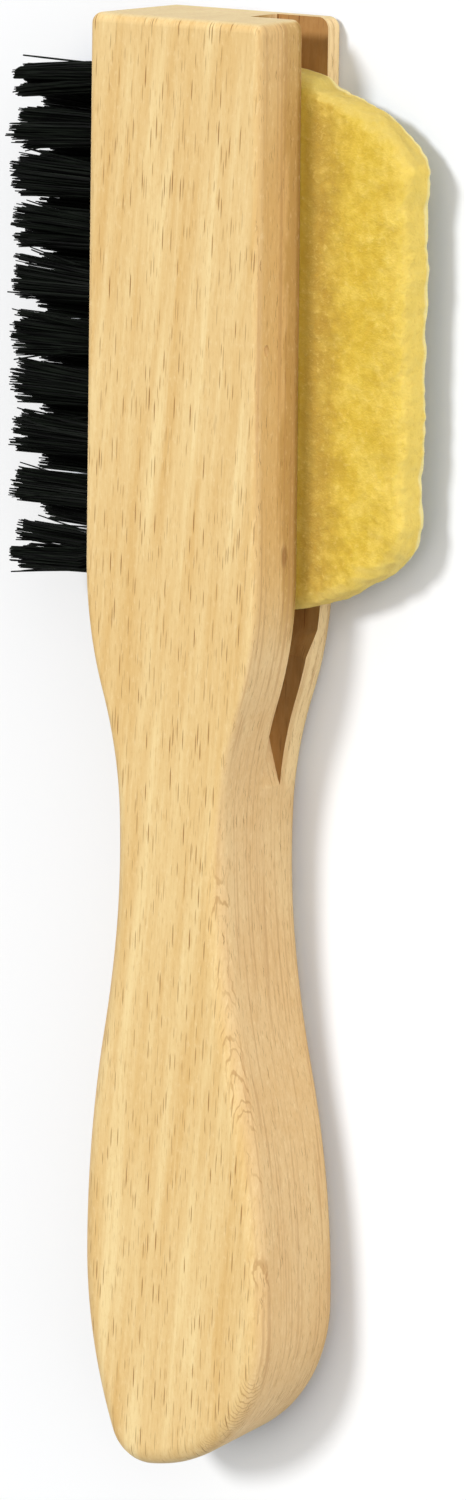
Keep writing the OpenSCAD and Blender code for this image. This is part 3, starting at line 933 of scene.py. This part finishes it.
# Distance in millimetres within which the brush counts as close and casts painted shade
# on the floor, and the share of the open floor's white that it gives by itself
CLOSE_MM, FLOOR_GLOW = 8, 0.33


def make_floor():
    """A white floor that keeps the shadow, with painted bluish shade close to the brush, where its
    glow fades too.
    """
    size = FLOOR_SIZE
    mesh = bpy.data.meshes.new("floor")
    corners = [(-size, -size, 0), (size, -size, 0), (size, size, 0), (-size, size, 0)]
    mesh.from_pydata(corners, [], [[0, 1, 2, 3]])
    obj = new_object("floor", mesh)
    obj.location.z = -FLOOR_DROP * MM
    material = bpy.data.materials.new("floor_white")
    material.use_nodes = True
    t = Nodes(material.node_tree)
    path = t.nodes.new("ShaderNodeLightPath").outputs
    seen = t.math("MAXIMUM", path["Is Camera Ray"], path["Is Glossy Ray"])
    # Painted shade on the floor close to the brush: bluer, and without the glow
    sky = t.add("ShaderNodeAmbientOcclusion", {"Distance": CLOSE_MM * MM}, "AO", samples=16)
    clear = t.ramp(sky, 0.5, 0.95, smooth=False)
    colour = t.mix(seen, FLOOR_DIM, t.mix(clear, FLOOR_CLOSE_SHADE, FLOOR_OPEN))
    diffuse = t.add("ShaderNodeBsdfDiffuse", {"Color": colour})
    glow = t.add("ShaderNodeEmission", {})
    share = t.times(t.times(clear, seen), FLOOR_GLOW)
    shader = t.mixed_shaders(share, diffuse, glow)
    t.add("ShaderNodeOutputMaterial", {"Surface": shader})
    mesh.materials.append(material)


def sun(name, travel, strength, angle):
    lamp = bpy.data.lights.new(name, "SUN")
    lamp.energy = strength * math.pi
    lamp.angle = math.radians(angle)
    obj = new_object(name, lamp)
    obj.rotation_euler = Vector(travel).to_track_quat("-Z", "Y").to_euler()


def make_world(base, lobe, towards):
    """An even sky with one broad brighter side, plain white where the camera sees it."""
    world = bpy.data.worlds.new("studio")
    world.use_nodes = True
    t = Nodes(world.node_tree)
    coords = t.add("ShaderNodeTexCoord", {}, "Generated")
    facing = t.add(
        "ShaderNodeVectorMath", {0: coords, 1: Vector(towards).normalized()}, "Value",
        operation="DOT_PRODUCT",
    )
    strength = t.scaled(t.ramp(facing, LOBE_EDGE, 1.0), lobe, base)
    lit = t.add("ShaderNodeBackground", {"Strength": strength})
    white = t.add("ShaderNodeBackground", {"Color": (1, 1, 1, 1), "Strength": 1.0})
    path = t.nodes.new("ShaderNodeLightPath").outputs
    shown = t.mixed_shaders(path["Is Camera Ray"], lit, white)
    t.add("ShaderNodeOutputWorld", {"Surface": shown})
    bpy.context.scene.world = world


# The lamp's way of travel, strength and angle. The sky's base, the brighter side's own
# strength, its way and the cosine at which it ends
KEY_TRAVEL, KEY_STRENGTH, KEY_ANGLE = (4.3, -7.6, -18.0), 0.65, 11
SKY_BASE, SKY_LOBE, SKY_TOWARDS, LOBE_EDGE = 0.28, 2.0, (0.85, 0.5, 0.15), 0.4
make_floor()
sun("key", KEY_TRAVEL, KEY_STRENGTH, KEY_ANGLE)
make_world(SKY_BASE, SKY_LOBE, SKY_TOWARDS)

# The camera's place in millimetres and its axes in the brush's frame, fitted to the
# brush's outline
CAMERA_AT = (347.15, 147.93, 470.57)
CAMERA_RIGHT = (0.80082251, 0.01251432, -0.59877099)
CAMERA_UP = (-0.15645709, 0.9694346, -0.18899137)
CAMERA_AHEAD = (-0.57810421, -0.24503051, -0.77830301)
SENSOR, LENS = 36.0, 106.242
camera_data = bpy.data.cameras.new("camera")
camera_data.sensor_width, camera_data.lens = SENSOR, LENS
camera_data.clip_start, camera_data.clip_end = 0.01, 20.0
camera = new_object("camera", camera_data)
turn = Matrix((CAMERA_RIGHT, CAMERA_UP, [-x for x in CAMERA_AHEAD])).transposed().to_4x4()
camera.matrix_world = Matrix.Translation(Vector(CAMERA_AT) * MM) @ turn
bpy.context.scene.camera = camera
bpy.context.scene.view_settings.view_transform = "Standard"
